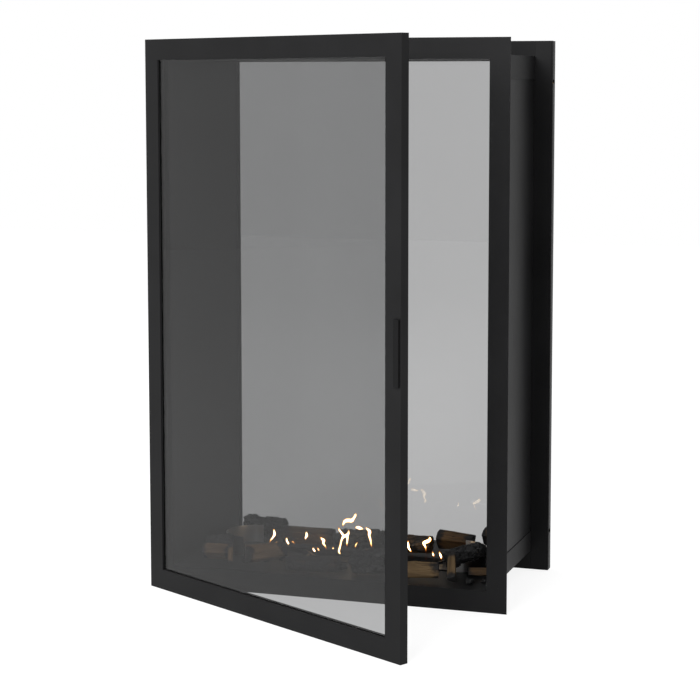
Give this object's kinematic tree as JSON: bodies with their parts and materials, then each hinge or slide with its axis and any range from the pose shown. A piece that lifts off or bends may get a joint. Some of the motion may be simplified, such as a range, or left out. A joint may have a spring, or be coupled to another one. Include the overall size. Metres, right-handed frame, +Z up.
{
  "type": "double-sided ethanol fireplace",
  "caption": "Tall built-in see-through fireplace: black steel casing, framed glass doors on both sides, sunken ethanol burner with sliding shutter and a log bed.",
  "frame": {"origin": "centre of the casing's underside, midway between the two openings", "axes": "+X across the openings, +Y from the side with the open door to the rear, +Z up"},
  "size_m": [0.8037, 0.8315, 1.2],
  "materials": {
    "black_steel": "fine satin black powder coat",
    "tinted_glass": "clear polish, grey tint",
    "gasket": "woven black glass fibre",
    "soft_pad": "matt black silicone",
    "bronze": "plain sintered bronze",
    "steel_fastener": "blackened steel",
    "magnet": "nickel",
    "ceramic_wool": "loose white fibre",
    "stainless": "brushed stainless",
    "charred_wood": "charred, cracked",
    "split_wood": "split, dry grain"
  },
  "bodies": {
    "casing": {"billet_front": "split_wood", "bottom_tray": "black_steel", "burner_deck": "stainless", "burner_guides": "stainless", "burner_tank": "stainless", "burner_wool": "ceramic_wool", "ceiling_liner": "black_steel", "charred_log_back_left": "charred_wood", "charred_log_back_middle": "charred_wood", "charred_log_back_right": "charred_wood", "charred_log_far_left": "charred_wood", "charred_log_front": "charred_wood", "charred_log_middle": "charred_wood", "charred_log_right": "charred_wood", "front_catch_magnets": "magnet", "front_hinge_pins": "steel_fastener", "front_lower_hinge_lug": "black_steel", "front_trim_frame": "black_steel", "front_upper_hinge_lug": "black_steel", "left_end_guard": "stainless", "left_side_panel": "black_steel", "rear_catch_magnets": "magnet", "rear_hinge_pins": "steel_fastener", "rear_lower_hinge_lug": "black_steel", "rear_trim_frame": "black_steel", "rear_upper_hinge_lug": "black_steel", "right_end_guard": "stainless", "right_side_panel": "black_steel", "split_log_back_far_right": "split_wood", "split_log_back_left": "split_wood", "split_log_back_right": "split_wood", "split_log_far_left": "split_wood", "split_log_far_right": "split_wood", "split_log_left": "split_wood", "split_log_right": "split_wood", "stick_left": "split_wood", "stick_right": "split_wood", "top_tray": "black_steel"},
    "front_door": {"front_door_cover": "black_steel", "front_door_frame": "black_steel", "front_door_gaskets": "gasket", "front_door_glass": "tinted_glass", "front_door_handle": "black_steel", "front_door_pads": "soft_pad", "front_door_screws": "steel_fastener", "front_door_standoffs": "steel_fastener", "front_hinge_blocks": "black_steel", "front_hinge_bushes": "bronze"},
    "rear_door": {"rear_door_cover": "black_steel", "rear_door_frame": "black_steel", "rear_door_gaskets": "gasket", "rear_door_glass": "tinted_glass", "rear_door_handle": "black_steel", "rear_door_pads": "soft_pad", "rear_door_screws": "steel_fastener", "rear_door_standoffs": "steel_fastener", "rear_hinge_blocks": "black_steel", "rear_hinge_bushes": "bronze"},
    "shutter": {"burner_shutter": "stainless", "shutter_knob": "stainless"}
  },
  "joints": [
    {"name": "front_door_hinge", "type": "hinge", "parent": "casing", "child": "front_door", "pos_m": [-0.393, -0.208, 0.55], "axis": [0, 0, -1], "range_deg": [-29.3, 70.7]},
    {"name": "rear_door_hinge", "type": "hinge", "parent": "casing", "child": "rear_door", "pos_m": [0.393, 0.208, 0.55], "axis": [0, 0, -1], "range_deg": [0, 100]},
    {"name": "shutter_slide", "type": "slide", "parent": "casing", "child": "shutter", "axis": [0, -1, 0], "range_m": [0, 0.0307]}
  ]
}
